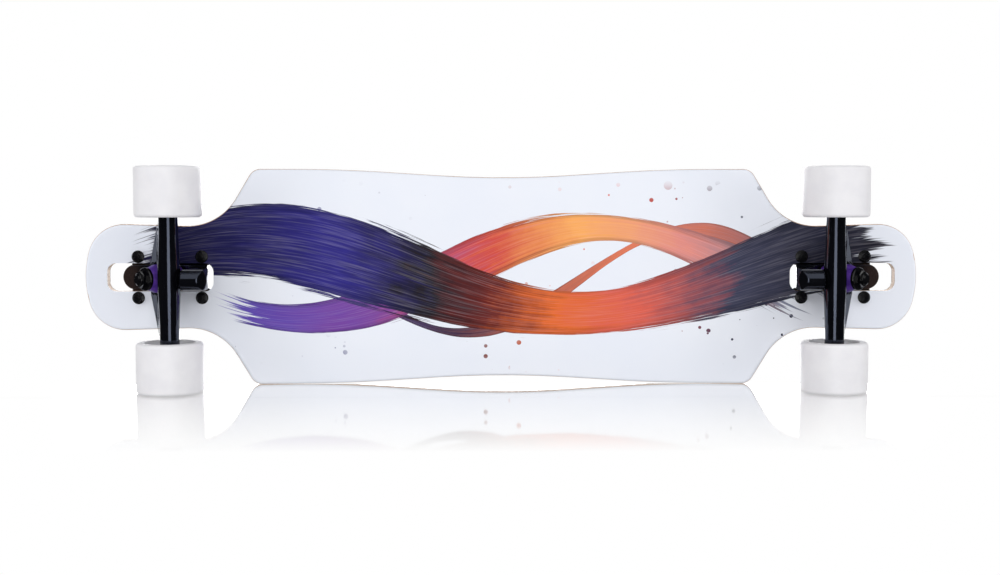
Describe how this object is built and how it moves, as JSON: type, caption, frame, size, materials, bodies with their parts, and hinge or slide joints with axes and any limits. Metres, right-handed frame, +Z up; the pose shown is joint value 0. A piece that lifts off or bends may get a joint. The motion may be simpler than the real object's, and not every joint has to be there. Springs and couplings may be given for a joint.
{
  "type": "longboard skateboard",
  "caption": "Drop-through longboard: waisted ply deck with wheel wells and slots, reverse-kingpin trucks that steer on bushings, and wide urethane wheels.",
  "frame": {"origin": "on the ground below the middle of the deck, wheels standing on Z = 0", "axes": "+X along the board towards the nose, +Y to the rider's left, +Z up"},
  "size_m": [0.836, 0.221, 0.0957],
  "materials": {
    "deck_ply": "satin print on the underside, clear maple ply on the edge",
    "grip_grit": "coarse black grit",
    "truck_black": "cast, gloss black powder coat",
    "black_steel": "black oxide, satin",
    "bushing_purple": "satin urethane",
    "cup_plastic": "moulded",
    "axle_steel": "turned, zinc",
    "bearing_steel": "ground",
    "shield_black": "moulded seal",
    "urethane_white": "cast white urethane, smooth",
    "core_white": "moulded"
  },
  "bodies": {
    "board": {"deck": "deck_ply", "grip_tape": "grip_grit", "front_baseplate": "truck_black", "front_pivot_cup": "cup_plastic", "front_kingpin": "black_steel", "front_kingpin_nut": "black_steel", "front_boardside_washer": "black_steel", "front_roadside_washer": "black_steel", "front_boardside_bushing": "bushing_purple", "front_roadside_bushing": "bushing_purple", "front_mounting_bolts": "black_steel", "front_mounting_nuts": "black_steel", "front_mounting_washers": "black_steel", "rear_baseplate": "truck_black", "rear_pivot_cup": "cup_plastic", "rear_kingpin": "black_steel", "rear_kingpin_nut": "black_steel", "rear_boardside_washer": "black_steel", "rear_roadside_washer": "black_steel", "rear_boardside_bushing": "bushing_purple", "rear_roadside_bushing": "bushing_purple", "rear_mounting_bolts": "black_steel", "rear_mounting_nuts": "black_steel", "rear_mounting_washers": "black_steel"},
    "front_hanger_set": {"front_hanger": "truck_black", "front_axle": "axle_steel", "front_axle_nuts": "axle_steel", "front_speed_rings": "axle_steel", "front_bearing_inner_races": "bearing_steel", "front_bearing_spacers": "axle_steel"},
    "front_left_wheel": {"front_left_wheel_tyre": "urethane_white", "front_left_wheel_core": "core_white", "front_left_bearing_outer_races": "bearing_steel", "front_left_bearing_balls": "bearing_steel", "front_left_bearing_cages": "cup_plastic", "front_left_bearing_shields": "shield_black"},
    "front_right_wheel": {"front_right_wheel_tyre": "urethane_white", "front_right_wheel_core": "core_white", "front_right_bearing_outer_races": "bearing_steel", "front_right_bearing_balls": "bearing_steel", "front_right_bearing_cages": "cup_plastic", "front_right_bearing_shields": "shield_black"},
    "rear_hanger_set": {"rear_hanger": "truck_black", "rear_axle": "axle_steel", "rear_axle_nuts": "axle_steel", "rear_speed_rings": "axle_steel", "rear_bearing_inner_races": "bearing_steel", "rear_bearing_spacers": "axle_steel"},
    "rear_left_wheel": {"rear_left_wheel_tyre": "urethane_white", "rear_left_wheel_core": "core_white", "rear_left_bearing_outer_races": "bearing_steel", "rear_left_bearing_balls": "bearing_steel", "rear_left_bearing_cages": "cup_plastic", "rear_left_bearing_shields": "shield_black"},
    "rear_right_wheel": {"rear_right_wheel_tyre": "urethane_white", "rear_right_wheel_core": "core_white", "rear_right_bearing_outer_races": "bearing_steel", "rear_right_bearing_balls": "bearing_steel", "rear_right_bearing_cages": "cup_plastic", "rear_right_bearing_shields": "shield_black"}
  },
  "joints": [
    {"name": "front_steer", "type": "hinge", "parent": "board", "child": "front_hanger_set", "pos_m": [0.3373, 0, 0.058], "axis": [0.7466, 0, 0.6652], "range_deg": [-15, 15], "stiffness_Nm_per_rad": 60, "deforming": ["front_boardside_bushing", "front_roadside_bushing"]},
    {"name": "front_left_roll", "type": "hinge", "parent": "front_hanger_set", "child": "front_left_wheel", "pos_m": [0.3243, 0.0855, 0.0325], "axis": [0, 1, 0], "continuous": true},
    {"name": "front_right_roll", "type": "hinge", "parent": "front_hanger_set", "child": "front_right_wheel", "pos_m": [0.3243, -0.0855, 0.0325], "axis": [0, 1, 0], "continuous": true},
    {"name": "rear_steer", "type": "hinge", "parent": "board", "child": "rear_hanger_set", "pos_m": [-0.3373, 0, 0.058], "axis": [-0.7466, 0, 0.6652], "range_deg": [-15, 15], "stiffness_Nm_per_rad": 60, "deforming": ["rear_boardside_bushing", "rear_roadside_bushing"]},
    {"name": "rear_left_roll", "type": "hinge", "parent": "rear_hanger_set", "child": "rear_left_wheel", "pos_m": [-0.3243, 0.0855, 0.0325], "axis": [0, 1, 0], "continuous": true},
    {"name": "rear_right_roll", "type": "hinge", "parent": "rear_hanger_set", "child": "rear_right_wheel", "pos_m": [-0.3243, -0.0855, 0.0325], "axis": [0, 1, 0], "continuous": true}
  ]
}
